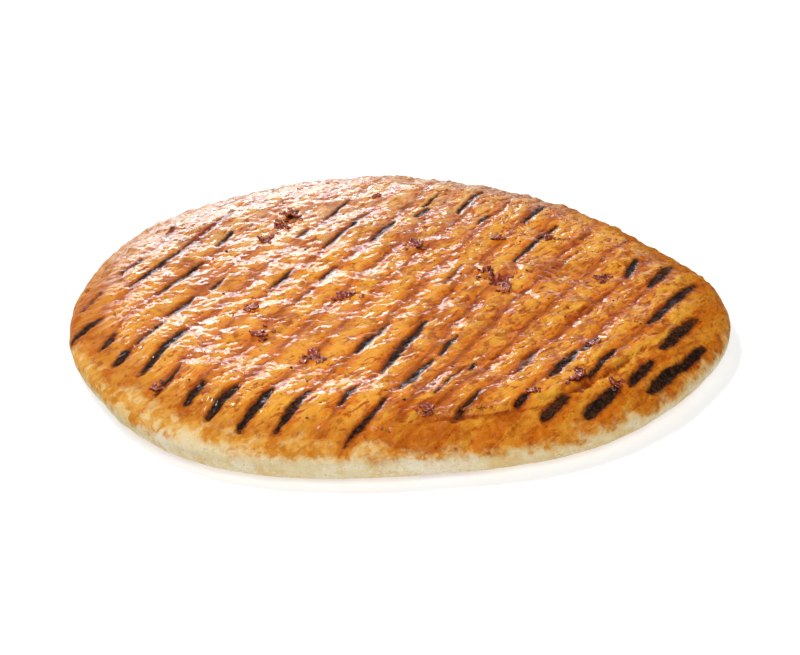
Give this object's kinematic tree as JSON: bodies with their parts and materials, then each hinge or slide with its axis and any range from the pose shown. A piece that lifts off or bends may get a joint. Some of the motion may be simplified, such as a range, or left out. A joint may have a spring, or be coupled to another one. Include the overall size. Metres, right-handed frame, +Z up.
{
  "type": "pita bread",
  "caption": "Round grilled pita flatbread with a puffed pale rim, a glazed crust and slanting char marks, lying flat on its underside.",
  "frame": {"origin": "on the face that the loaf rests on, under the middle of its outline's box", "axes": "+Z up through the loaf, +X to the right and +Y away as the loaf is seen from the front"},
  "size_m": [0.2036, 0.1968, 0.0145],
  "materials": {
    "crust": null
  },
  "bodies": {
    "root": {"pita_bread": "crust"}
  },
  "joints": []
}
